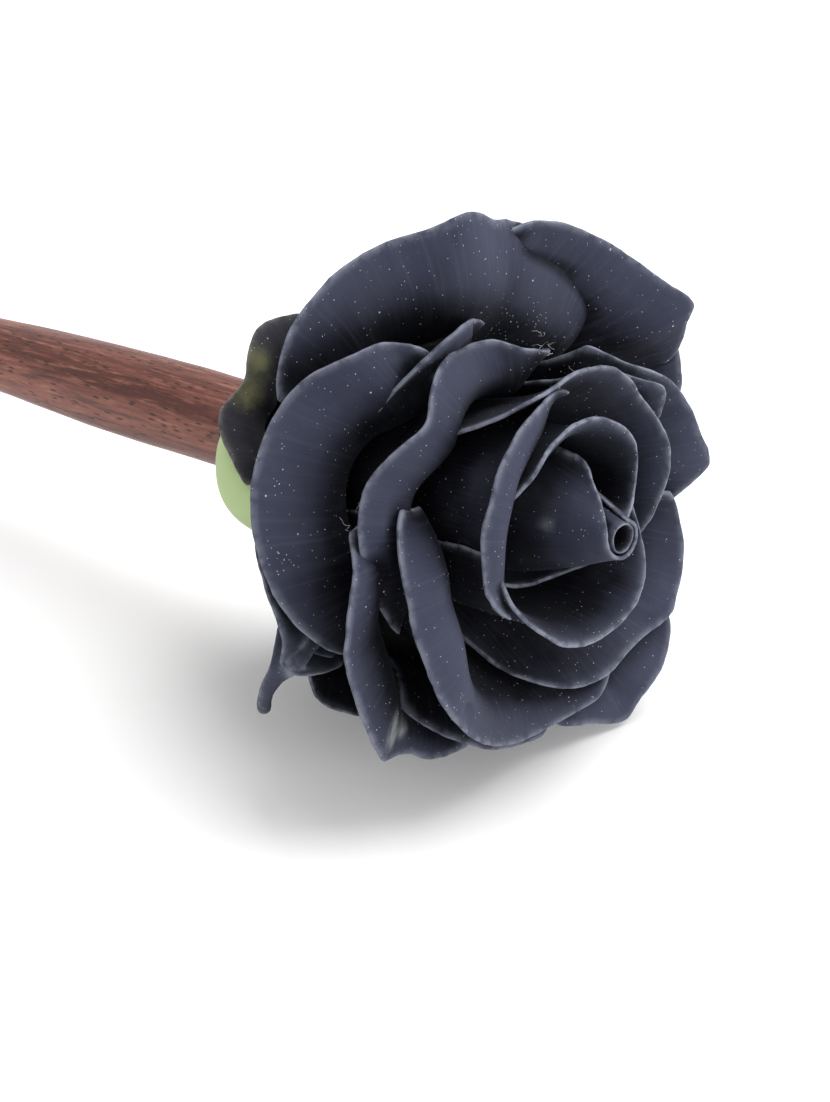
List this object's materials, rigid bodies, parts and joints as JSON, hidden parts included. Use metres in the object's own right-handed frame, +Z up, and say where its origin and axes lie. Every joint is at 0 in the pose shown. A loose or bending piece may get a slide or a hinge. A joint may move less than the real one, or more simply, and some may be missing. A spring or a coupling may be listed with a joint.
{
  "type": "decorative hair pin",
  "caption": "Tapered wooden hair stick with a full sculpted rose of thin overlapping dark petals and a pale green calyx on its thick end.",
  "frame": {"origin": "middle of the bounding box in plan, at the height of the surface that the pin lies on", "axes": "+X along the pin from the stick's tip to the rose, +Y away from the viewer's side, +Z up; the pin lies on its rose's edge and its tip"},
  "size_m": [0.1902, 0.0425, 0.0407],
  "materials": {
    "wood": "satin, red-brown with dark pores",
    "glue": "clear set adhesive",
    "green_clay": "smooth light yellow-green modelling clay",
    "black_clay": "matte blue-black modelling clay"
  },
  "bodies": {
    "root": {"stick": "wood", "glue": "glue", "core": "black_clay", "calyx_cup": "green_clay", "sepal_low": "green_clay", "sepal_far": "green_clay", "sepal_back": "green_clay", "back_leaf": "black_clay", "bud_core": "black_clay", "bud_roll": "black_clay", "bud_wrap": "black_clay", "heart_top": "black_clay", "heart_bowl": "black_clay", "heart_strip": "black_clay", "inner_arch": "black_clay", "inner_corner": "black_clay", "inner_wave": "black_clay", "inner_bowl": "black_clay", "middle_point": "black_clay", "middle_side": "black_clay", "middle_bowl": "black_clay", "outer_top": "black_clay", "outer_left": "black_clay", "outer_corner": "black_clay", "outer_sliver": "black_clay", "outer_tip": "black_clay", "outer_low": "black_clay", "outer_smudged": "black_clay", "under_left": "black_clay", "under_spike": "black_clay", "under_corner": "black_clay", "under_low": "black_clay"}
  },
  "joints": []
}
